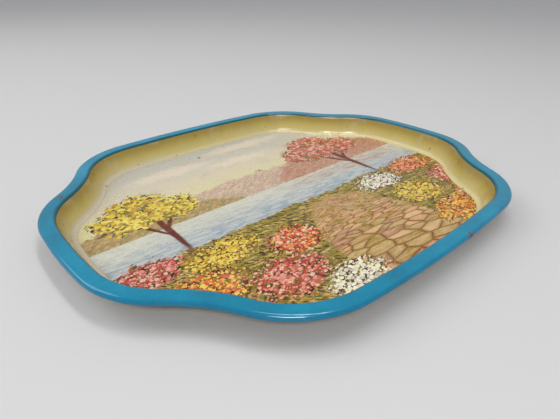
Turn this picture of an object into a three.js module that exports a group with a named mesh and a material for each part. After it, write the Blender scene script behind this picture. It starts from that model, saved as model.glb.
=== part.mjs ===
// A shaped tinplate serving tray: one deep-drawn sheet with a flat floor, a sloping wall, a level
// flange and an edge rolled round a stiffening wire. Three bonded coats lie on its upper side: the
// printed picture on the floor, cream enamel up the wall and blue enamel over the rim.
// Millimetres, +Z up. The tray stands on Z = 0 with its long axis along X, and the origin is the
// middle of its base.

import * as THREE from 'three';

// Outline of the rolled edge's centre line, one quarter of it, from the middle of a long side to
// the middle of a short side. Each stretch is an arc that meets the next at a tangent.
const HALF_WIDTH = 165;
const LONG_SIDE = { radius: 1030, sweep: 4.7, turn: 1, steps: 4 };
const LONG_CORNER = { radius: 73.5, sweep: 57.6, turn: 1, steps: 10 };
const CORNER_HOLLOW = { radius: 126, sweep: 22.4, turn: -1, steps: 4 };
const SHORT_CORNER = { radius: 70.5, sweep: 45.7, turn: 1, steps: 8 };
const SHORT_SIDE_STEPS = 2;

// The sheet's section.
const RIM_HEIGHT = 21.4;
const SHEET = 0.36;
const CURL_RADIUS = 2.4;
const CURL_SWEEP = 285;
const FLANGE = 7.2;
const BEND_RADIUS = 3;
const WALL_SLOPE = 68;
const FILLET_RADIUS = 5;

// The coats, a little thicker than a stoved film so that each is a solid of its own.
const COAT = 0.1;
const COAT_CLEARANCE = 0.02;
const PRINT_MARGIN = 0.3;
const ENAMEL_JOINT = 0.1;
const BLUE_CURL_SWEEP = 180;
const BLUE_CURL_STEPS = 6;

// The stiffening wire, 10 gauge, with its two ends butted in the middle of a long side.
const WIRE_RADIUS = 1.625;
const WIRE_SIDES = 8;
const WIRE_STEPS = 100;
const WIRE_END_GAP = 1;

// Finishes: colour, roughness and metalness.
const TINPLATE = [0x9a968a, 0.45, 0.8];
const STEEL_WIRE = [0x8d8f92, 0.5, 0.9];
const CREAM_ENAMEL = [0xc9bd82, 0.3, 0];
const PICTURE_PRINT = [0xc4a67c, 0.28, 0];
const BLUE_ENAMEL = [0x248cb0, 0.25, 0];

const SHEET_TOP = RIM_HEIGHT - COAT - COAT_CLEARANCE;
const radians = THREE.MathUtils.degToRad;

// The quarter's arcs, clockwise from the middle of the long side. The last one takes the turn
// that is left, and its radius brings it to the long axis.
function quarterArcs() {
  const arcs = [];
  const place = new THREE.Vector2(0, HALF_WIDTH);
  let heading = 0;
  const addArc = ({ radius, sweep, turn, steps }) => {
    const side = heading - turn * Math.PI / 2;
    const centre = new THREE.Vector2(Math.cos(side), Math.sin(side)).multiplyScalar(radius).add(place);
    const start = side + Math.PI;
    const end = start - turn * radians(sweep);
    arcs.push({ centre, radius, turn, steps, start, end });
    place.set(Math.cos(end), Math.sin(end)).multiplyScalar(radius).add(centre);
    heading -= turn * radians(sweep);
  };
  [LONG_SIDE, LONG_CORNER, CORNER_HOLLOW, SHORT_CORNER].forEach(addArc);
  const leftToTurn = Math.PI / 2 + heading;
  const closingRadius = place.y / Math.sin(leftToTurn);
  addArc({
    radius: closingRadius,
    sweep: THREE.MathUtils.radToDeg(leftToTurn),
    turn: 1,
    steps: SHORT_SIDE_STEPS,
  });
  return arcs;
}

const ARCS = quarterArcs();

// The outline moved outwards by offset, as a loop of points that runs anticlockwise from the
// middle of the short side at +X.
function outline(offset) {
  const quarter = [new THREE.Vector2(0, HALF_WIDTH + offset)];
  for (const { centre, radius, turn, steps, start, end } of ARCS) {
    const arc = new THREE.EllipseCurve(
      centre.x, centre.y, radius + turn * offset, radius + turn * offset, start, end, turn > 0,
    );
    quarter.push(...arc.getPoints(steps).slice(1));
  }
  quarter[quarter.length - 1].y = 0;
  const firstQuarter = quarter.slice(1).reverse();
  const mirrored = (points, x, y) => points.map((p) => new THREE.Vector2(x * p.x, y * p.y));
  return [
    ...firstQuarter,
    ...mirrored(quarter.slice(0, -1), -1, 1),
    ...mirrored(firstQuarter, -1, -1),
    ...mirrored(quarter.slice(0, -1), 1, -1),
  ];
}

// Samples of the sheet's upper face: u is the distance outwards from the rolled edge's centre
// line, z the height, and (nu, nz) the direction out of the face.
function sectionArc({ u, z, radius, from, to, steps, facing }) {
  const samples = [];
  for (let i = 0; i <= steps; i += 1) {
    const angle = radians(from + (to - from) * i / steps);
    const du = Math.cos(angle);
    const dz = Math.sin(angle);
    samples.push({ u: u + radius * du, z: z + radius * dz, nu: facing * du, nz: facing * dz });
  }
  return samples;
}

const slope = radians(WALL_SLOPE);
const bendAt = { u: -FLANGE, z: SHEET_TOP - BEND_RADIUS };
const wallRise = bendAt.z + BEND_RADIUS * Math.cos(slope) - SHEET - FILLET_RADIUS * (1 - Math.cos(slope));
const wallRun = wallRise / Math.tan(slope);
const FLOOR_EDGE = bendAt.u - (BEND_RADIUS + FILLET_RADIUS) * Math.sin(slope) - wallRun;

const fillet = sectionArc({
  u: FLOOR_EDGE, z: SHEET + FILLET_RADIUS, radius: FILLET_RADIUS,
  from: -90, to: -90 + WALL_SLOPE, steps: 3, facing: -1,
});
const bend = sectionArc({
  ...bendAt, radius: BEND_RADIUS, from: 90 + WALL_SLOPE, to: 90, steps: 2, facing: 1,
});
const curl = (from, to, steps) => sectionArc({
  u: 0, z: SHEET_TOP - CURL_RADIUS, radius: CURL_RADIUS, from: 90 - from, to: 90 - to, steps, facing: 1,
});

// The closed section between two distances from the upper face: out along the higher one and back
// along the lower one.
function layer(samples, low, high) {
  const shifted = (by) => samples.map((p) => ({ u: p.u + by * p.nu, z: p.z + by * p.nz }));
  return [...shifted(high), ...shifted(low).reverse()];
}

// A section carried round the outline. With capped set, its first and last rings are closed across
// the middle, and otherwise it joins up with itself.
function carryRound(section, capped) {
  const rings = section.map(({ u }) => outline(u));
  const count = rings[0].length;
  const positions = rings.flatMap((ring, i) => ring.flatMap((p) => [p.x, p.y, section[i].z]));
  const faces = [];
  const bands = capped ? rings.length - 1 : rings.length;
  for (let i = 0; i < bands; i += 1) {
    const inner = i * count;
    const outer = ((i + 1) % rings.length) * count;
    for (let j = 0; j < count; j += 1) {
      const next = (j + 1) % count;
      faces.push(inner + j, outer + j, outer + next);
      faces.push(inner + j, outer + next, inner + next);
    }
  }
  if (capped) {
    const underside = (rings.length - 1) * count;
    for (const [a, b, c] of THREE.ShapeUtils.triangulateShape(rings[0], [])) {
      faces.push(a, b, c);
      faces.push(underside + c, underside + b, underside + a);
    }
  }
  const geometry = new THREE.BufferGeometry();
  geometry.setAttribute('position', new THREE.Float32BufferAttribute(positions, 3));
  geometry.setIndex(faces);
  geometry.computeVertexNormals();
  return geometry;
}

function trayPressing() {
  const upperFace = [
    ...fillet,
    ...bend,
    ...curl(0, BLUE_CURL_SWEEP, BLUE_CURL_STEPS),
    ...curl(BLUE_CURL_SWEEP, CURL_SWEEP, 3).slice(1),
  ];
  return carryRound(layer(upperFace, -SHEET, 0), true);
}

function wallEnamel() {
  const { u, z, nu, nz } = bend[0];
  const wallTop = { u: u - ENAMEL_JOINT * Math.cos(slope), z: z - ENAMEL_JOINT * Math.sin(slope), nu, nz };
  const covered = [...fillet, wallTop];
  return carryRound(layer(covered, COAT_CLEARANCE, COAT_CLEARANCE + COAT), false);
}

function rimEnamel() {
  const covered = [...bend, ...curl(0, BLUE_CURL_SWEEP, BLUE_CURL_STEPS)];
  return carryRound(layer(covered, COAT_CLEARANCE, COAT_CLEARANCE + COAT), false);
}

function picturePrint() {
  const shape = new THREE.Shape(outline(FLOOR_EDGE - PRINT_MARGIN));
  return new THREE.ExtrudeGeometry(shape, { depth: COAT, bevelEnabled: false });
}

function rimWire() {
  const loop = outline(0);
  const backMiddle = loop.findIndex((p) => p.x === 0 && p.y > 0);
  const afterEnd = [...loop.slice(backMiddle + 1), ...loop.slice(0, backMiddle)];
  const route = [
    new THREE.Vector2(-WIRE_END_GAP / 2, HALF_WIDTH),
    ...afterEnd,
    new THREE.Vector2(WIRE_END_GAP / 2, HALF_WIDTH),
  ];
  const path = new THREE.CatmullRomCurve3(route.map((p) => new THREE.Vector3(p.x, p.y, 0)));
  const round = new THREE.Shape(
    new THREE.EllipseCurve(0, 0, WIRE_RADIUS, WIRE_RADIUS).getPoints(WIRE_SIDES).slice(0, -1),
  );
  return new THREE.ExtrudeGeometry(round, { steps: WIRE_STEPS, extrudePath: path });
}

function piece(name, geometry, [color, roughness, metalness], height = 0) {
  const mesh = new THREE.Mesh(geometry, new THREE.MeshStandardMaterial({ color, roughness, metalness }));
  mesh.name = name;
  mesh.position.z = height;
  return mesh;
}

const tray = new THREE.Group();
tray.add(
  piece('tray_pressing', trayPressing(), TINPLATE),
  piece('rim_wire', rimWire(), STEEL_WIRE, SHEET_TOP - CURL_RADIUS),
  piece('wall_enamel', wallEnamel(), CREAM_ENAMEL),
  piece('picture_print', picturePrint(), PICTURE_PRINT, SHEET + COAT_CLEARANCE),
  piece('rim_enamel', rimEnamel(), BLUE_ENAMEL),
);

export default tray;
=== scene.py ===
"""A shaped tinplate serving tray, standing on a pale floor: blue enamelled rim, cream wall and a
varnished print of a generic lakeside garden."""

import math
import random

import bpy
from mathutils import Matrix, Vector

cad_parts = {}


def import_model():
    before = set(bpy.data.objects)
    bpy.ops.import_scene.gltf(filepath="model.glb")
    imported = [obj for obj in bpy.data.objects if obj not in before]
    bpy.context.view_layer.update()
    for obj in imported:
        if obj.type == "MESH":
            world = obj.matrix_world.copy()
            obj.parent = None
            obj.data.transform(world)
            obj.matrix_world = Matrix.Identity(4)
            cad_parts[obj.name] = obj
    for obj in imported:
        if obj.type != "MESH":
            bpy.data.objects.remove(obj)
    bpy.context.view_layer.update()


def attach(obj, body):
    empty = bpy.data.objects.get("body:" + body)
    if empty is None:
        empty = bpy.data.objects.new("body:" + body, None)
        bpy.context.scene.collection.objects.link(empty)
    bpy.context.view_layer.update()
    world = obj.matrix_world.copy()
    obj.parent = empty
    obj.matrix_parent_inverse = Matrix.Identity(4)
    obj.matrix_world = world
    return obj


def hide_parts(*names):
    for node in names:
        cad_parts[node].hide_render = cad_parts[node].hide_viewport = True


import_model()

MM = 0.001

# ---------------------------------------------------------------------------------------------
# The tray's outline and section, in millimetres
# ---------------------------------------------------------------------------------------------

# One quarter of the rolled edge's centre line, from the middle of a long side to the middle of a
# short side: radius, sweep in degrees, +1 where it bulges outwards or -1 where it is hollow, steps.
HALF_WIDTH = 165.0
QUARTER = (
    (1030.0, 4.7, 1, 16),
    (73.5, 57.6, 1, 40),
    (126.0, 22.4, -1, 20),
    (70.5, 45.7, 1, 34),
)
SHORT_SIDE_STEPS = 10

RIM_HEIGHT = 21.4
SHEET = 0.36
CURL_RADIUS = 2.4
CURL_SWEEP = 285.0
BLUE_CURL_SWEEP = 180.0
FLANGE = 7.2
BEND_RADIUS = 3.0
WALL_SLOPE = 68.0
FILLET_RADIUS = 5.0
COAT = 0.1
COAT_CLEARANCE = 0.02
ENAMEL_JOINT = 0.1
PRINT_MARGIN = 0.3
WIRE_RADIUS = 1.625
WIRE_END_GAP = 1.0
WIRE_SIDES = 24
SHARP_EDGE = 40.0

SHEET_TOP = RIM_HEIGHT - COAT - COAT_CLEARANCE


def quarter_arcs():
    """The quarter's arcs as (centre, radius, bulge, start, end, steps). The last one closes it."""
    arcs = []
    place = Vector((0.0, HALF_WIDTH))
    heading = 0.0

    def add(radius, sweep, bulge, steps):
        nonlocal place, heading
        side = heading - bulge * math.pi / 2
        centre = place + radius * Vector((math.cos(side), math.sin(side)))
        start = side + math.pi
        end = start - bulge * math.radians(sweep)
        arcs.append((centre, radius, bulge, start, end, steps))
        place = centre + radius * Vector((math.cos(end), math.sin(end)))
        heading -= bulge * math.radians(sweep)

    for arc in QUARTER:
        add(*arc)
    left_to_turn = math.pi / 2 + heading
    add(place.y / math.sin(left_to_turn), math.degrees(left_to_turn), 1, SHORT_SIDE_STEPS)
    return arcs


ARCS = quarter_arcs()


def outline(offset):
    """The outline moved outwards by offset: a loop of (x, y), anticlockwise from +X."""
    quarter = [(0.0, HALF_WIDTH + offset)]
    for centre, radius, bulge, start, end, steps in ARCS:
        reach = radius + bulge * offset
        for i in range(1, steps + 1):
            angle = start + (end - start) * i / steps
            quarter.append((centre.x + reach * math.cos(angle), centre.y + reach * math.sin(angle)))
    quarter[-1] = (quarter[-1][0], 0.0)
    first = quarter[:0:-1]
    second = [(-x, y) for x, y in quarter[:-1]]
    return first + second + [(-x, -y) for x, y in first] + [(-x, -y) for x, y in second]


def section_arc(u, z, radius, start, end, steps, facing=1):
    """Samples (u, z, nu, nz) of the sheet's upper face along an arc of its section."""
    samples = []
    for i in range(steps + 1):
        angle = math.radians(start + (end - start) * i / steps)
        du, dz = math.cos(angle), math.sin(angle)
        samples.append((u + radius * du, z + radius * dz, facing * du, facing * dz))
    return samples


def between(a, b, steps):
    """Samples on the straight stretch from a to b, without its two ends."""
    return [tuple(p + (q - p) * i / steps for p, q in zip(a, b)) for i in range(1, steps)]


SLOPE = math.radians(WALL_SLOPE)
BEND_HEIGHT = SHEET_TOP - BEND_RADIUS
WALL_RISE = (BEND_HEIGHT + BEND_RADIUS * math.cos(SLOPE)
             - SHEET - FILLET_RADIUS * (1 - math.cos(SLOPE)))
FLOOR_EDGE = -FLANGE - (BEND_RADIUS + FILLET_RADIUS) * math.sin(SLOPE) - WALL_RISE / math.tan(SLOPE)

FILLET = section_arc(FLOOR_EDGE, SHEET + FILLET_RADIUS, FILLET_RADIUS,
                     -90, -90 + WALL_SLOPE, 12, facing=-1)
BEND = section_arc(-FLANGE, BEND_HEIGHT, BEND_RADIUS, 90 + WALL_SLOPE, 90, 10)
CURL = section_arc(0, SHEET_TOP - CURL_RADIUS, CURL_RADIUS, 90, 90 - BLUE_CURL_SWEEP, 20)
CURL_END = section_arc(0, SHEET_TOP - CURL_RADIUS, CURL_RADIUS,
                       90 - BLUE_CURL_SWEEP, 90 - CURL_SWEEP, 10)


def layer(samples, low, high):
    """The closed section between two distances from the upper face, as (u, z)."""
    def shifted(by):
        return [(u + by * nu, z + by * nz) for u, z, nu, nz in samples]
    return shifted(high) + shifted(low)[::-1]


# ---------------------------------------------------------------------------------------------
# Mesh pieces
# ---------------------------------------------------------------------------------------------

def new_piece(name, points, faces, material, node, outwards=()):
    """A smooth shaded mesh piece, given in millimetres, that stands for a CAD node. outwards is each
    point's distance from the outline, kept for the materials as the attribute of that name."""
    mesh = bpy.data.meshes.new(name)
    mesh.from_pydata([(x * MM, y * MM, z * MM) for x, y, z in points], [], faces)
    mesh.shade_smooth()
    mesh.set_sharp_from_angle(angle=math.radians(SHARP_EDGE))
    mesh.materials.append(material)
    if outwards:
        mesh.attributes.new("outwards", "FLOAT", "POINT").data.foreach_set("value", outwards)
    piece = bpy.data.objects.new(name, mesh)
    bpy.context.scene.collection.objects.link(piece)
    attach(piece, "root")
    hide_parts(node)
    return piece


def carried_round(section, capped=False):
    """Points and faces of a section carried round the outline. With capped set, its first and last
    rings are closed across the middle, and otherwise it joins up with itself."""
    rings = [[(x, y, z) for x, y in outline(u)] for u, z in section]
    count = len(rings[0])
    points = [p for ring in rings for p in ring]
    faces = []
    for i in range(len(rings) - 1 if capped else len(rings)):
        inner = i * count
        outer = (i + 1) % len(rings) * count
        for j in range(count):
            k = (j + 1) % count
            faces.append((inner + j, outer + j, outer + k, inner + k))
    if capped:
        faces.append(tuple(range(count)))
        last = (len(rings) - 1) * count
        faces.append(tuple(range(last + count - 1, last - 1, -1)))
    return points, faces


def tray_sheet(material):
    upper = (FILLET + between(FILLET[-1], BEND[0], 4) + BEND + between(BEND[-1], CURL[0], 3)
             + CURL + CURL_END[1:])
    points, faces = carried_round(layer(upper, -SHEET, 0), capped=True)
    return new_piece("tray_sheet", points, faces, material, "tray_pressing")


def cream_coat(material):
    u, z, nu, nz = BEND[0]
    top = (u - ENAMEL_JOINT * math.cos(SLOPE), z - ENAMEL_JOINT * math.sin(SLOPE), nu, nz)
    upper = FILLET + between(FILLET[-1], top, 8) + [top]
    points, faces = carried_round(layer(upper, COAT_CLEARANCE, COAT_CLEARANCE + COAT))
    return new_piece("cream_coat", points, faces, material, "wall_enamel")


def blue_coat(material):
    upper = BEND + between(BEND[-1], CURL[0], 4) + CURL
    section = layer(upper, COAT_CLEARANCE, COAT_CLEARANCE + COAT)
    points, faces = carried_round(section)
    outwards = [u for u, _ in section for _ in range(len(points) // len(section))]
    return new_piece("blue_coat", points, faces, material, "rim_enamel",
                     outwards=outwards)


def picture(material):
    edge = FLOOR_EDGE - PRINT_MARGIN
    low = SHEET + COAT_CLEARANCE
    points, faces = carried_round([(edge, low + COAT), (edge, low)], capped=True)
    return new_piece("picture", points, faces, material, "picture_print")


def stiffening_wire(material):
    """A round wire with its two ends butted in the middle of the back long side."""
    loop = outline(0)
    back = min(range(len(loop)), key=lambda i: abs(loop[i][0]) - loop[i][1])
    route = [(-WIRE_END_GAP / 2, HALF_WIDTH)] + loop[back + 1:] + loop[:back]
    route.append((WIRE_END_GAP / 2, HALF_WIDTH))
    height = SHEET_TOP - CURL_RADIUS
    points = []
    for i, (x, y) in enumerate(route):
        x0, y0 = route[max(i - 1, 0)]
        x1, y1 = route[min(i + 1, len(route) - 1)]
        across = Vector((y1 - y0, x0 - x1)).normalized()
        for j in range(WIRE_SIDES):
            angle = 2 * math.pi * j / WIRE_SIDES
            out = WIRE_RADIUS * math.cos(angle)
            up = WIRE_RADIUS * math.sin(angle)
            points.append((x + across.x * out, y + across.y * out, height + up))
    faces = [tuple(range(WIRE_SIDES))]
    for i in range(len(route) - 1):
        for j in range(WIRE_SIDES):
            k = (j + 1) % WIRE_SIDES
            a, b = i * WIRE_SIDES, (i + 1) * WIRE_SIDES
            faces.append((a + j, b + j, b + k, a + k))
    last = (len(route) - 1) * WIRE_SIDES
    faces.append(tuple(range(last + WIRE_SIDES - 1, last - 1, -1)))
    return new_piece("stiffening_wire", points, faces, material, "rim_wire")


# ---------------------------------------------------------------------------------------------
# Materials
# ---------------------------------------------------------------------------------------------

def linear(red, green, blue):
    """An sRGB colour in 0 to 255 as the linear colour that shaders take."""
    def channel(value):
        value /= 255
        return value / 12.92 if value <= 0.04045 else ((value + 0.055) / 1.055) ** 2.4
    return channel(red), channel(green), channel(blue), 1.0


class Nodes:
    """Adds shader nodes to a node tree one after another, and returns their outputs."""

    def __init__(self, tree):
        self.tree = tree

    def put(self, socket, value):
        if isinstance(value, bpy.types.NodeSocket):
            self.tree.links.new(value, socket)
        else:
            socket.default_value = value

    def add(self, kind, inputs, output=0, **settings):
        node = self.tree.nodes.new(kind)
        for key, value in settings.items():
            setattr(node, key, value)
        for key, value in inputs.items():
            self.put(node.inputs[key], value)
        return node.outputs[output]

    def math(self, operation, *values):
        return self.add("ShaderNodeMath", dict(enumerate(values)), operation=operation)

    def vector(self, operation, *values, output=0):
        return self.add("ShaderNodeVectorMath", dict(enumerate(values)), output, operation=operation)

    def part(self, vector, axis):
        return self.vector("DOT_PRODUCT", vector, {"X": (1, 0, 0), "Y": (0, 1, 0)}[axis], output="Value")

    def noise(self, place, scale, detail=2.0, roughness=0.5, output=0):
        """Noise whose features are about 1 / scale millimetres across."""
        inputs = {"Vector": place, "Scale": scale, "Detail": detail, "Roughness": roughness}
        return self.add("ShaderNodeTexNoise", inputs, output)

    def step(self, value, low, high, start=0.0, end=1.0):
        """Goes smoothly from start to end as value goes from low to high."""
        inputs = {0: value, 1: low, 2: high, 3: start, 4: end}
        return self.add("ShaderNodeMapRange", inputs, interpolation_type="SMOOTHSTEP", clamp=False)

    def ramp(self, value, *stops, constant=False):
        node = self.tree.nodes.new("ShaderNodeValToRGB")
        node.color_ramp.interpolation = "CONSTANT" if constant else "LINEAR"
        elements = node.color_ramp.elements
        while len(elements) < len(stops):
            elements.new(1.0)
        for element, (position, colour) in zip(elements, stops):
            element.position = position
            element.color = linear(*colour)
        self.put(node.inputs[0], value)
        return node.outputs[0]

    def mix(self, mask, below, above, blend="MIX"):
        inputs = {0: mask, 6: below, 7: above}
        return self.add("ShaderNodeMix", inputs, 2, data_type="RGBA", blend_type=blend)

    def bump(self, height, depth):
        """A normal from a height in 0 to 1 that stands for depth millimetres."""
        inputs = {"Height": height, "Distance": depth * MM}
        return self.add("ShaderNodeBump", inputs)


class Material(Nodes):
    """A material on one Principled shader. Its place is the point on the object in millimetres."""

    def __init__(self, name):
        self.material = bpy.data.materials.new(name)
        self.material.use_nodes = True
        super().__init__(self.material.node_tree)
        self.shader = self.tree.nodes["Principled BSDF"]
        coordinate = self.add("ShaderNodeTexCoord", {}, "Object")
        self.place = self.vector("MULTIPLY", coordinate, (1000, 1000, 1000))

    def finish(self, **sockets):
        for key, value in sockets.items():
            self.put(self.shader.inputs[key.replace("_", " ")], value)
        return self.material


def specks(n, size, share):
    """Small ragged spots, 1 inside and 0 outside, on about that share of cells of that size in mm."""
    rough = n.noise(n.place, 0.9, detail=2.0, output="Color")
    moved = n.vector("MULTIPLY_ADD", rough, (0.5 * size, 0.5 * size, 0.5 * size), n.place)
    cell = n.tree.nodes.new("ShaderNodeTexVoronoi")
    n.put(cell.inputs["Vector"], moved)
    cell.inputs["Scale"].default_value = 1 / size
    pick = n.part(cell.outputs["Color"], "X")
    room = n.step(pick, 1 - share, 1, 0, 0.34)
    return n.step(n.math("SUBTRACT", cell.outputs["Distance"], room), -0.05, 0.0, 1, 0)


def scratches(n, angle, scale=0.5, low=0.66):
    """Fine long scratches that run at an angle across the object."""
    turned = {"Vector": n.place, "Rotation": (0, 0, math.radians(angle)), "Scale": (0.04, 1, 0.3)}
    along = n.add("ShaderNodeMapping", turned)
    return n.step(n.noise(along, scale, detail=4.0, roughness=0.7), low, low + 0.06)


def blue_enamel():
    """Glossy stoving enamel: a little uneven, with painted shade that darkens the inner bend and the
    outer side of the curl, chipped to the metal here and there, and dulled by handling."""
    n = Material("blue_enamel")
    outwards = n.add("ShaderNodeAttribute", {}, "Fac", attribute_name="outwards")
    cloud = n.noise(n.place, 0.03, detail=5.0, roughness=0.6)
    grain = n.noise(n.place, 0.5, detail=4.0)
    colour = n.ramp(cloud, (0.3, (5, 111, 138)), (0.5, (3, 126, 158)), (0.7, (8, 138, 170)))
    # greyer teal in cloudy patches towards the +X end of the rim
    greyer_end_patches = n.step(n.part(n.place, "X"), 110, 200, 0.0, 0.7)
    colour = n.mix(n.math("MULTIPLY", greyer_end_patches, n.step(cloud, 0.35, 0.6)), colour, linear(16, 116, 136))
    # painted shade: the inner bend of the rim, where it turns down into the wall, darkened to dark teal
    colour = n.mix(n.step(outwards, -9.6, -7.4, 0.85, 0.0), colour, linear(14, 70, 66))
    # painted shade: the outer, downward-turning half of the curl darkened to a deeper blue
    colour = n.mix(n.step(outwards, 0.6, 2.4, 0.0, 0.4), colour, linear(8, 98, 140))
    colour = n.mix(n.step(grain, 0.3, 0.75, 0.07, 0.0), colour, linear(4, 60, 80))
    scuffed = n.math("MULTIPLY", scratches(n, 35), 0.3)
    colour = n.mix(scuffed, colour, linear(110, 168, 186))
    dirt = specks(n, 3.0, 0.06)
    colour = n.mix(n.math("MULTIPLY", dirt, 0.7), colour, linear(30, 58, 62))
    rim_chip = specks(n, 13.0, 0.035)
    flake = specks(n, 5.0, 0.02)
    chip = n.math("MAXIMUM", rim_chip, flake)
    colour = n.mix(chip, colour, n.ramp(grain, (0.35, (44, 34, 30)), (0.65, (112, 92, 78))))
    gloss = n.math("MULTIPLY_ADD", n.step(cloud, 0.35, 0.7), 0.09, 0.07)
    gloss = n.math("MAXIMUM", gloss, n.math("MULTIPLY", n.math("MAXIMUM", chip, dirt), 0.6))
    fine = n.math("MULTIPLY", grain, 0.03)
    height = n.math("MULTIPLY_ADD", n.noise(n.place, 0.12, detail=3.0), 0.6, fine)
    height = n.math("SUBTRACT", height, n.math("MULTIPLY", chip, 0.5))
    return n.finish(Base_Color=colour, Roughness=gloss, Specular_IOR_Level=0.4,
                    Normal=n.bump(height, 0.1))


def cream_enamel():
    """Cream enamel that turns a darker ochre towards the rim, now a little stained."""
    n = Material("cream_enamel")
    cloud = n.noise(n.place, 0.035, detail=5.0, roughness=0.6)
    grain = n.noise(n.place, 0.6, detail=3.0)
    rise = n.math("MULTIPLY_ADD", cloud, 7.0, n.vector("DOT_PRODUCT", n.place, (0, 0, 1), output="Value"))
    # darker ochre the higher up the wall, with a cloudy edge to the change
    colour = n.ramp(n.step(rise, 2.5, 22.0), (0.0, (208, 194, 142)), (0.3, (198, 182, 112)),
                    (0.75, (178, 158, 80)), (1.0, (156, 134, 60)))
    colour = n.mix(n.step(cloud, 0.52, 0.68, 0.0, 0.3), colour, linear(206, 186, 160))
    sky_side = n.math("MULTIPLY", n.step(n.part(n.place, "X"), -70, -20, 0.7, 0.0),
                      n.step(rise, 4.0, 10.0, 1, 0))
    colour = n.mix(sky_side, colour, linear(196, 186, 172))
    colour = n.mix(n.step(grain, 0.35, 0.7, 0.1, 0.0), colour, linear(150, 126, 70))
    colour = n.mix(n.math("MULTIPLY", specks(n, 5.0, 0.1), 0.6), colour, linear(112, 88, 52))
    colour = n.mix(n.math("MULTIPLY", specks(n, 9.0, 0.03), 0.7), colour, linear(94, 68, 44))
    colour = n.mix(n.math("MULTIPLY", scratches(n, 60), 0.25), colour, linear(236, 226, 190))
    gloss = n.math("MULTIPLY_ADD", n.step(cloud, 0.3, 0.7), 0.08, 0.05)
    fine = n.math("MULTIPLY", grain, 0.05)
    height = n.math("MULTIPLY_ADD", n.noise(n.place, 0.1, detail=3.0), 0.7, fine)
    return n.finish(Base_Color=colour, Roughness=gloss, Normal=n.bump(height, 0.1))


def tinplate():
    """Lacquered tinplate: dull and faintly gold, with rolling marks, rust freckles and scratches."""
    n = Material("tinplate")
    cloud = n.noise(n.place, 0.025, detail=5.0, roughness=0.65)
    grain = n.noise(n.place, 0.7, detail=4.0)
    colour = n.ramp(cloud, (0.3, (150, 140, 112)), (0.5, (172, 162, 136)), (0.7, (184, 178, 158)))
    rolled = n.math("MULTIPLY", scratches(n, 8, scale=0.8, low=0.6), 0.5)
    colour = n.mix(rolled, colour, linear(206, 202, 190))
    colour = n.mix(n.math("MULTIPLY", scratches(n, 97, low=0.62), 0.5), colour, linear(104, 96, 78))
    rust = n.math("MAXIMUM", specks(n, 4.0, 0.12), specks(n, 14.0, 0.15))
    rust = n.math("MULTIPLY", rust, n.step(cloud, 0.4, 0.6))
    colour = n.mix(rust, colour, n.ramp(grain, (0.35, (70, 42, 26)), (0.65, (134, 82, 48))))
    gloss = n.math("MULTIPLY_ADD", n.step(cloud, 0.3, 0.7), 0.16, 0.3)
    gloss = n.math("MAXIMUM", gloss, n.math("MULTIPLY", rust, 0.8))
    fine = n.math("MULTIPLY", grain, 0.05)
    height = n.math("MULTIPLY_ADD", n.noise(n.place, 0.06, detail=3.0), 1.0, fine)
    return n.finish(Base_Color=colour, Metallic=n.math("SUBTRACT", 0.9, n.math("MULTIPLY", rust, 0.8)),
                    Roughness=gloss, Normal=n.bump(height, 0.15))


def steel_wire():
    """Drawn steel wire, dull, with drawing lines and patches of rust."""
    n = Material("steel_wire")
    cloud = n.noise(n.place, 0.08, detail=4.0, roughness=0.6)
    grain = n.noise(n.place, 1.4, detail=3.0)
    colour = n.ramp(grain, (0.3, (104, 102, 98)), (0.7, (150, 148, 142)))
    rust = n.step(n.math("MULTIPLY_ADD", grain, 0.25, cloud), 0.62, 0.74)
    colour = n.mix(rust, colour, n.ramp(grain, (0.35, (66, 40, 26)), (0.65, (128, 76, 42))))
    gloss = n.math("MULTIPLY_ADD", rust, 0.4, 0.35)
    return n.finish(Base_Color=colour, Metallic=n.math("MULTIPLY_ADD", rust, -0.8, 0.9), Roughness=gloss,
                    Normal=n.bump(grain, 0.05))


def shaken(n, at, scale, reach):
    """Places moved on by up to reach both ways, which gives a hand-drawn edge, and the same places
    moved back by half of reach."""
    noise = n.noise(at, scale, detail=3.0, roughness=0.6, output="Color")
    moved = n.vector("MULTIPLY_ADD", noise, (reach, reach, 0), at)
    back = {"Vector": moved, "Location": (-reach / 2, -reach / 2, 0)}
    return moved, n.add("ShaderNodeMapping", back)


def cells(n, at, size, angle=0.0, shift=0.0):
    """Scattered dabs of about that size: how far a point is from being covered, and a value picked
    for each dab."""
    turned = {"Vector": at, "Location": (shift, -shift, 0), "Rotation": (0, 0, math.radians(angle)),
              "Scale": (*size, 1)}
    places = n.add("ShaderNodeMapping", turned, vector_type="TEXTURE")
    return voronoi(n, places, 0.35)


def voronoi(n, places, spread):
    node = n.tree.nodes.new("ShaderNodeTexVoronoi")
    node.voronoi_dimensions = "2D"
    node.inputs["Scale"].default_value = 1.0
    n.put(node.inputs["Vector"], places)
    pick = n.vector("DOT_PRODUCT", node.outputs["Color"], (1, 0, 0), output="Value")
    vary = n.vector("DOT_PRODUCT", node.outputs["Color"], (0, -spread, 0), output="Value")
    return n.math("ADD", node.outputs["Distance"], vary), pick


def paving(n, at):
    """Stones on the ground, seen from eye height, so that they crowd together further up."""
    x = n.vector("DOT_PRODUCT", at, (1, 0, 0), output="Value")
    y = n.vector("DOT_PRODUCT", at, (0, 1, 0), output="Value")
    depth = n.math("SUBTRACT", HORIZON, y)
    across = n.math("DIVIDE", n.math("MULTIPLY_ADD", x, PAVING_SPREAD, PAVING_START), depth)
    down = n.math("DIVIDE", PAVING_DEPTH, depth)
    places = n.add("ShaderNodeCombineXYZ", {"X": across, "Y": down})
    _, pick = voronoi(n, places, 0)
    joint = n.add("ShaderNodeTexVoronoi", {"Vector": places, "Scale": 1.0}, "Distance",
                  voronoi_dimensions="2D", feature="DISTANCE_TO_EDGE")
    return joint, pick


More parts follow.
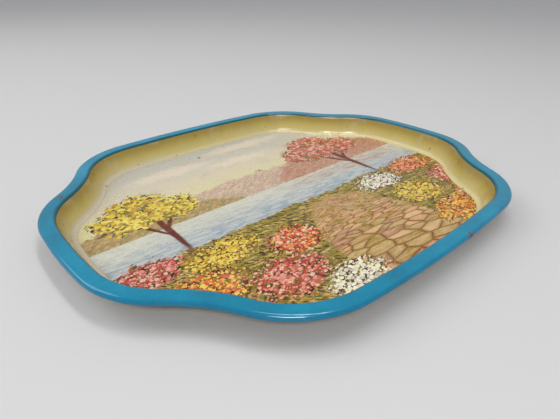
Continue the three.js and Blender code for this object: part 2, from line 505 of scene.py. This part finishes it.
def brushes(n):
    """What every part of the picture is painted with: places, and patterns of dabs. Each of them
    comes out of a texture or a mapping. Cycles then works through the layers in the order in which
    they were made, so that few values wait at a time; it has room for about 250."""
    flat = n.vector("MULTIPLY", n.place, (1, 1, 0))
    moved, firm = shaken(n, flat, scale=0.12, reach=1.6)
    _, loose = shaken(n, flat, scale=0.1, reach=19.0)
    found = {
        "firm": firm,
        "loose": loose,
        "y": n.part(firm, "Y"),
        "tooth": n.noise(flat, 0.55, detail=3.0),
        "flow": n.noise(flat, 0.045, detail=4.0, roughness=0.6),
    }
    for kind, size, angle, shift in DABS:
        found[kind + " gap"], found[kind + " pick"] = cells(n, moved, size, angle, shift)
    found["stone gap"], found["stone pick"] = paving(n, moved)
    return found


HAND = random.Random(11)  # shifts the colours and covers a little, so that no two layers are alike
HORIZON = -6.0  # the height on the picture where the paving would vanish
PAVING_SPREAD = 4.8  # how many stones there are to each mm across, at 1 mm below the horizon
PAVING_START = 200.0  # over PAVING_SPREAD, how far left of the middle the lines of paving meet, in mm
PAVING_DEPTH = 1600.0  # how quickly the rows of stones crowd together towards the horizon
DABS = (  # kind, width and height in mm, angle, and where the pattern starts
    ("fine", (2.6, 2.0), 0, 0),
    ("small", (4.2, 3.1), 20, 31),
    ("medium", (6.4, 4.6), -15, 57),
    ("leaf", (6.4, 2.2), 32, 83),
    ("blade", (6.0, 2.0), -38, 97),
    ("level", (16.0, 2.0), -2, 43),
)


class Layer(Nodes):
    """One part of the picture, as a node group that paints over the colour it is given. Places are
    in millimetres on the picture, x to the right and y up. No node here changes a vector into a
    colour or a place, which would put it out of order."""

    def __init__(self, name, found):
        super().__init__(bpy.data.node_groups.new(name, "ShaderNodeTree"))
        face = self.tree.interface
        face.new_socket("colour", in_out="INPUT", socket_type="NodeSocketColor")
        face.new_socket("colour", in_out="OUTPUT", socket_type="NodeSocketColor")
        for key in found:
            kind = "NodeSocketVector" if key in ("firm", "loose") else "NodeSocketFloat"
            face.new_socket(key, in_out="INPUT", socket_type=kind)
        self.given = self.tree.nodes.new("NodeGroupInput").outputs
        self.firm = self.given["firm"]
        self.loose = self.given["loose"]
        self.flow = self.given["flow"]
        self.y = self.given["y"]
        self.colour = self.given["colour"]

    def close(self):
        self.put(self.tree.nodes.new("NodeGroupOutput").inputs[0], self.colour)

    # Masks, 1 inside and 0 outside

    def both(self, *masks):
        mask = masks[0]
        for other in masks[1:]:
            mask = self.math("MULTIPLY", mask, other)
        return mask

    def either(self, *masks):
        mask = masks[0]
        for other in masks[1:]:
            mask = self.math("MAXIMUM", mask, other)
        return mask

    def along(self, at, point, angle, unit=1.0):
        """How far places are along a direction, in units, and how far a point is."""
        direction = (math.cos(math.radians(angle)) / unit, math.sin(math.radians(angle)) / unit, 0)
        reach = point[0] * direction[0] + point[1] * direction[1]
        return self.vector("DOT_PRODUCT", at, direction, output="Value"), reach

    def beyond(self, at, point, angle, soft=0.6):
        """The half of the picture that lies from point in the direction of angle."""
        away, reach = self.along(at, point, angle)
        return self.step(away, reach - soft, reach + soft)

    def ellipse(self, at, centre, radii, angle=0.0, soft=0.3):
        if angle:
            across, middle_across = self.along(at, centre, angle, radii[0])
            up, middle_up = self.along(at, centre, angle + 90, radii[1])
            places = self.add("ShaderNodeCombineXYZ", {"X": across, "Y": up})
        else:
            places = self.vector("MULTIPLY", at, (1 / radii[0], 1 / radii[1], 0))
            middle_across, middle_up = centre[0] / radii[0], centre[1] / radii[1]
        away = self.vector("DISTANCE", places, (middle_across, middle_up, 0), output="Value")
        return self.step(away, 1 - soft, 1 + soft, 1, 0)

    def touches(self, kind, cover):
        """The dabs of one kind, where cover is how much of the ground they hide."""
        return self.math("LESS_THAN", self.given[kind + " gap"], cover - 0.2 + HAND.uniform(-0.01, 0.01))

    # Brushwork

    def lay(self, mask, colour):
        if isinstance(colour, tuple):
            colour = linear(*colour)
        self.colour = self.mix(mask, self.colour, colour)

    def veil(self, mask, strength, colour):
        self.lay(self.math("MULTIPLY", mask, strength), colour)

    def picked(self, kind, palette):
        mixed = [tuple(part + HAND.uniform(-7, 7) for part in colour) for colour in palette]
        stops = [(i / len(palette), colour) for i, colour in enumerate(mixed)]
        return self.ramp(self.given[kind + " pick"], *stops, constant=True)

    def scatter(self, mask, kind, cover, *palette):
        """Dabs that get smaller and then stop where the mask fades out."""
        limit = self.math("MULTIPLY_ADD", mask, cover + 0.15 + HAND.uniform(-0.01, 0.01), -0.35)
        touched = self.math("LESS_THAN", self.given[kind + " gap"], limit)
        self.lay(touched, self.picked(kind, palette))

    def stroke(self, start, end, width, colour):
        """One tapering brush stroke."""
        run, rise = end[0] - start[0], end[1] - start[1]
        middle = ((start[0] + end[0]) / 2, (start[1] + end[1]) / 2)
        radii = (math.hypot(run, rise) / 2, width / 2)
        mask = self.ellipse(self.firm, middle, radii, math.degrees(math.atan2(rise, run)), 0.3)
        self.lay(mask, colour)

    def bank(self, centre, radii, flowers, cover=0.52):
        """Massed flowers, ragged at the edge: dark ground, leaves and two sizes of petals."""
        core = (0.8 * radii[0], 0.8 * radii[1])
        self.lay(self.ellipse(self.loose, centre, core, 0, 0.2), OLIVE)
        spread = self.ellipse(self.loose, centre, radii, 0, 0.4)
        self.scatter(spread, "leaf", 0.62, *LEAF_GREENS)
        self.scatter(spread, "small", cover, *flowers)
        self.scatter(spread, "fine", cover - 0.16, *flowers[::-1])


# Colours that several parts of the picture share.
OLIVE = (106, 90, 34)
MOSS = (140, 132, 52)
LEAF_GREENS = ((84, 68, 26), OLIVE, MOSS, (108, 108, 48))
BARK = (120, 74, 44)
PINKS = ((226, 150, 140), (208, 108, 100), (240, 190, 178), (190, 86, 70))
CORALS = ((222, 96, 62), (236, 140, 96), (244, 200, 180), (200, 70, 48), (238, 160, 60))
YELLOWS = ((232, 204, 48), (214, 176, 30), (240, 222, 110), (196, 150, 30))
ORANGES = ((226, 140, 34), (240, 184, 60), (206, 104, 30), (244, 210, 110))
WHITES = ((240, 236, 220), (226, 222, 216), (250, 246, 232), (206, 204, 206))


def paint_sky(p):
    p.lay(1.0, p.ramp(p.step(p.y, 10, 150), (0.1, (226, 222, 178)), (0.45, (224, 216, 196)),
                      (1.0, (198, 202, 206))))
    p.veil(p.step(p.flow, 0.5, 0.7), 0.4, (190, 186, 192))
    for centre, radii in (((-58, 108), (44, 9)), ((44, 124), (52, 8)), ((12, 92), (36, 7))):
        p.veil(p.ellipse(p.loose, centre, radii, 0, 0.5), 0.7, (238, 226, 214))


def paint_hills(p):
    for centre, radii, colour in (
        ((-10, 12), (120, 40), (208, 184, 172)),
        ((110, 8), (100, 54), (196, 152, 134)),
        ((-130, 8), (95, 36), (182, 158, 118)),
    ):
        hill = p.ellipse(p.loose, centre, radii, 0, 0.05)
        p.lay(hill, colour)
        p.scatter(hill, "leaf", 0.45, [part - 16 for part in colour], [part + 14 for part in colour])


def paint_lake(p):
    water = p.beyond(p.firm, (0, 14), -90)
    p.lay(water, p.ramp(p.step(p.y, -40, 14), (0.0, (150, 170, 196)), (0.5, (172, 186, 204)),
                        (1.0, (208, 212, 208))))
    p.veil(p.both(water, p.ellipse(p.loose, (96, 4), (84, 10), 0, 0.4)), 0.6, (178, 148, 146))
    p.veil(p.both(water, p.touches("level", 0.45)), 0.5, (226, 228, 226))


def paint_meadow(p):
    near = p.beyond(p.loose, (0, -26), -90, 1.5)
    p.lay(near, (168, 150, 84))
    p.scatter(near, "level", 0.5, (186, 168, 98), (150, 138, 72), (202, 176, 112), (136, 122, 60))
    p.scatter(near, "blade", 0.36, *LEAF_GREENS)


def paint_path(p):
    """Crazy paving that narrows towards the water."""
    path = p.both(p.beyond(p.loose, (0, -34), -90), p.ellipse(p.loose, (16, -150), (58, 118), 0, 0.04))
    stone = ((214, 164, 134), (204, 168, 120), (172, 152, 92), (222, 184, 148), (190, 142, 112))
    p.lay(path, p.picked("stone", stone))
    p.veil(p.both(path, p.step(p.flow, 0.42, 0.68)), 0.6, (158, 146, 70))
    p.veil(p.both(path, p.touches("level", 0.5)), 0.4, (232, 194, 164))
    joint = p.given["stone gap"]
    p.veil(p.both(path, p.step(joint, 0.03, 0.2, 1, 0)), 0.6, (150, 112, 62))
    p.veil(p.both(path, p.step(joint, 0.0, 0.06, 1, 0)), 0.75, (112, 76, 40))


def paint_left_beds(p):
    for centre, radii, flowers in (
        ((-156, -34), (30, 16), PINKS), ((-104, -46), (34, 17), YELLOWS), ((-50, -66), (26, 20), CORALS),
        ((-138, -76), (34, 22), ORANGES), ((-84, -98), (34, 22), PINKS), ((-50, -130), (28, 16), WHITES),
    ):
        p.bank(centre, radii, flowers)


def paint_right_beds(p):
    for centre, radii, flowers in (
        ((84, -44), (28, 15), WHITES), ((142, -38), (34, 17), CORALS), ((96, -82), (30, 20), YELLOWS),
        ((154, -78), (26, 22), PINKS), ((96, -124), (32, 20), ORANGES), ((138, -114), (26, 18), CORALS),
    ):
        p.bank(centre, radii, flowers)


def paint_tree(p, x, foot, height, spread, petals):
    """A round tree in blossom."""
    top = foot + height
    p.stroke((x, foot), (x + 2, top + 10), 6, BARK)
    p.stroke((x, foot + 0.4 * height), (x - 0.5 * spread, top), 4, BARK)
    p.stroke((x, foot + 0.5 * height), (x + 0.5 * spread, top), 4, BARK)
    puff = (0.62 * spread, 0.48 * spread)
    crown = p.either(*(p.ellipse(p.loose, (x + side * spread, top + up * spread), puff)
                       for side, up in ((-0.42, 0.0), (0.42, -0.04), (0.0, 0.36))))
    p.scatter(crown, "leaf", 0.64, *LEAF_GREENS)
    p.scatter(crown, "medium", 0.56, *petals)
    p.scatter(crown, "small", 0.46, *petals, MOSS)


def paint_golden_tree(p):
    paint_tree(p, -118, -30, 76, 46, YELLOWS)


def paint_rose_tree(p):
    paint_tree(p, 104, -28, 84, 50, PINKS)


def picture_print():
    """A varnished colour print of a lakeside garden of no particular place."""
    n = Material("picture_print")
    found = brushes(n)
    colour = linear(210, 200, 170)
    for paint in (paint_sky, paint_hills, paint_lake, paint_meadow, paint_path, paint_left_beds,
                  paint_right_beds, paint_golden_tree, paint_rose_tree):
        layer = Layer(paint.__name__, found)
        paint(layer)
        layer.close()
        used = {key: value for key, value in found.items() if layer.given[key].is_linked}
        group = n.tree.nodes.new("ShaderNodeGroup")
        group.node_tree = layer.tree
        for key, value in {"colour": colour, **used}.items():
            n.put(group.inputs[key], value)
        colour = group.outputs[0]
    tooth = found["tooth"]
    colour = n.mix(n.step(tooth, 0.3, 0.7, 0.16, 0.0), colour, linear(140, 108, 70), "MULTIPLY")
    colour = n.mix(1.0, colour, linear(240, 236, 222), "MULTIPLY")
    colour = n.add("ShaderNodeBrightContrast", {"Color": colour, "Bright": 0.0, "Contrast": 0.1})
    colour = n.add("ShaderNodeHueSaturation", {"Color": colour, "Saturation": 0.94})
    faded = n.step(found["flow"], 0.45, 0.75, 0.0, 0.08)
    colour = n.mix(faded, colour, linear(214, 200, 170))
    colour = n.mix(n.math("MULTIPLY", specks(n, 7.0, 0.012), 0.7), colour, linear(96, 70, 48))
    colour = n.mix(n.math("MULTIPLY", scratches(n, 70), 0.2), colour, linear(236, 230, 214))
    gloss = n.math("MULTIPLY_ADD", n.step(found["flow"], 0.3, 0.7), 0.12, 0.2)
    fine = n.math("MULTIPLY", tooth, 0.03)
    height = n.math("MULTIPLY_ADD", n.noise(n.place, 0.03, detail=2.0), 1.0, fine)
    return n.finish(Base_Color=colour, Roughness=gloss, Specular_IOR_Level=0.3,
                    Normal=n.bump(height, 0.12))


# ---------------------------------------------------------------------------------------------
# Stage
# ---------------------------------------------------------------------------------------------

def area_light(name, place, size, power, gloss_only=False):
    """A rectangular lamp aimed at the tray. With gloss_only set it shows only as a highlight."""
    data = bpy.data.lights.new(name, "AREA")
    data.shape = "RECTANGLE"
    data.size, data.size_y = size
    data.energy = power
    light = bpy.data.objects.new(name, data)
    light.location = place
    light.rotation_euler = (-Vector(place)).to_track_quat("-Z", "Y").to_euler()
    light.visible_diffuse = not gloss_only
    bpy.context.scene.collection.objects.link(light)


def camera():
    azimuth, elevation, roll = math.radians(-41.88), math.radians(28.53), math.radians(0.14)
    aim = Vector((-0.0523, -0.0502, 0.020))
    distance = 0.3413
    away = Vector((math.sin(azimuth) * math.cos(elevation), -math.cos(azimuth) * math.cos(elevation),
                   math.sin(elevation)))
    data = bpy.data.cameras.new("camera")
    data.lens = 28.4
    data.clip_start = 0.01
    view = bpy.data.objects.new("camera", data)
    turn = (-away).to_track_quat("-Z", "Y").to_matrix().to_4x4() @ Matrix.Rotation(roll, 4, "Z")
    view.matrix_world = Matrix.Translation(aim + distance * away) @ turn
    bpy.context.scene.collection.objects.link(view)
    bpy.context.scene.camera = view


def floor():
    n = Material("floor_paper")
    n.finish(Base_Color=linear(197, 196, 196), Roughness=0.7)
    mesh = bpy.data.meshes.new("floor")
    reach = 6.0
    mesh.from_pydata([(-reach, -reach, 0), (reach, -reach, 0), (reach, reach, 0), (-reach, reach, 0)],
                     [], [(0, 1, 2, 3)])
    mesh.materials.append(n.material)
    sheet = bpy.data.objects.new("floor", mesh)
    bpy.context.scene.collection.objects.link(sheet)


def world():
    sky = bpy.data.worlds.new("studio")
    sky.use_nodes = True
    back = sky.node_tree.nodes["Background"]
    back.inputs["Color"].default_value = (0.80, 0.81, 0.83, 1)
    back.inputs["Strength"].default_value = 0.64
    bpy.context.scene.world = sky


bpy.context.scene.view_settings.view_transform = "Standard"
camera()
floor()
world()
area_light("window", (-0.9, 1.1, 1.3), (1.2, 0.9), 10)
area_light("ceiling", (0.25, 0.0, 1.6), (1.3, 0.2), 7)
area_light("front_fill", (-0.80, -0.90, 1.00), (0.8, 0.2), 8)
area_light("ceiling_glint", (0.25, 0.0, 1.6), (1.3, 0.05), 26, gloss_only=True)
area_light("front_glint", (-0.80, -0.90, 1.00), (0.5, 0.12), 20, gloss_only=True)

tray_sheet(tinplate())
stiffening_wire(steel_wire())
cream_coat(cream_enamel())
picture(picture_print())
blue_coat(blue_enamel())
